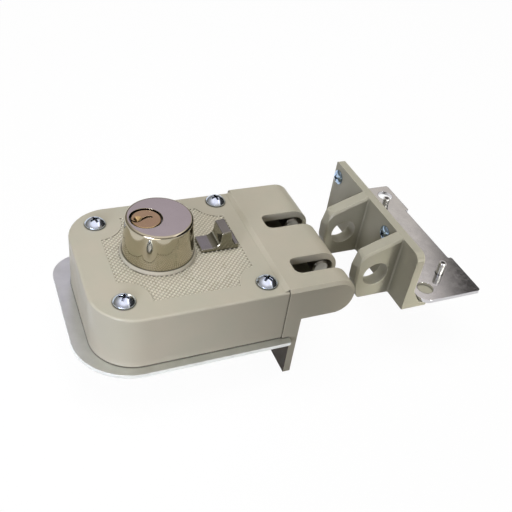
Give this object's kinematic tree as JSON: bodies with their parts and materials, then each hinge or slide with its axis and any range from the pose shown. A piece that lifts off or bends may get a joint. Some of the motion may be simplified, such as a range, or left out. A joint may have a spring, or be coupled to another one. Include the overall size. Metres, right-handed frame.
{
  "type": "double cylinder rim lock",
  "caption": "Surface-mounted deadlock with a keyed cylinder, a slide button, vertical bolts inside a slotted nose, a mounting plate, and a matching two-armed strike.",
  "frame": {"origin": "point on the door's face, on the axis of the key cylinder", "axes": "+X along the case to the door's edge and the strike, +Z out of the door into the room, bolts thrown along -Y"},
  "size_m": [0.1956, 0.0927, 0.071],
  "materials": {
    "case_paint": "satin warm grey paint on die-cast zinc",
    "zinc_sheet": "semi-gloss clear zinc plate",
    "zinc_screw": "bright blue-white zinc plate",
    "chrome_plate": "polished chrome",
    "brass": "plain turned brass",
    "bolt_steel": "bare steel, lightly oiled",
    "spring_steel": "dark spring steel"
  },
  "bodies": {
    "lock_body": {"case_shell": "case_paint", "mounting_plate": "zinc_sheet", "case_screws": "zinc_screw", "cylinder_shell": "chrome_plate", "driver_pins": "brass", "pin_springs": "spring_steel", "retaining_bar": "zinc_sheet", "retaining_screws": "zinc_screw", "guide_studs": "zinc_screw", "leaf_spring": "spring_steel", "leaf_spring_screw": "zinc_screw"},
    "plug": {"cylinder_plug": "brass", "bottom_pins": "brass", "plug_clip": "spring_steel", "tailpiece": "brass"},
    "hub": {"drive_hub": "bolt_steel", "cam_pin": "bolt_steel"},
    "bolt_work": {"bolt_carrier": "bolt_steel", "bolt_upper": "bolt_steel", "bolt_lower": "bolt_steel", "bolt_cross_pins": "bolt_steel"},
    "button": {"slide_button": "chrome_plate", "slide_lock_plate": "bolt_steel", "slide_screw": "zinc_screw"},
    "strike": {"strike_casting": "case_paint", "strike_backing_plate": "zinc_sheet", "strike_face_screws": "zinc_screw", "strike_clamp_screws": "zinc_screw"}
  },
  "joints": [
    {"name": "plug_turn", "type": "hinge", "parent": "lock_body", "child": "plug", "pos_m": [-0.0059, 0, 0.036], "axis": [0, 0, -1], "range_deg": [0, 90]},
    {"name": "hub_turn", "type": "hinge", "parent": "lock_body", "child": "hub", "pos_m": [-0.0059, 0, 0.012], "axis": [0, 0, -1], "range_deg": [0, 90]},
    {"name": "bolt_throw", "type": "slide", "parent": "lock_body", "child": "bolt_work", "axis": [0, -1, 0], "range_m": [0, 0.015]},
    {"name": "button_slide", "type": "slide", "parent": "lock_body", "child": "button", "axis": [1, 0, 0], "range_m": [0, 0.0055]},
    {"name": "strike_approach", "type": "slide", "parent": "lock_body", "child": "strike", "axis": [-1, 0, 0], "range_m": [0, 0.024]}
  ],
  "couplings": [
    {"joint": "plug_turn", "follows": "bolt_throw", "rad_per_m": 104.72},
    {"joint": "hub_turn", "follows": "bolt_throw", "rad_per_m": 104.72}
  ]
}
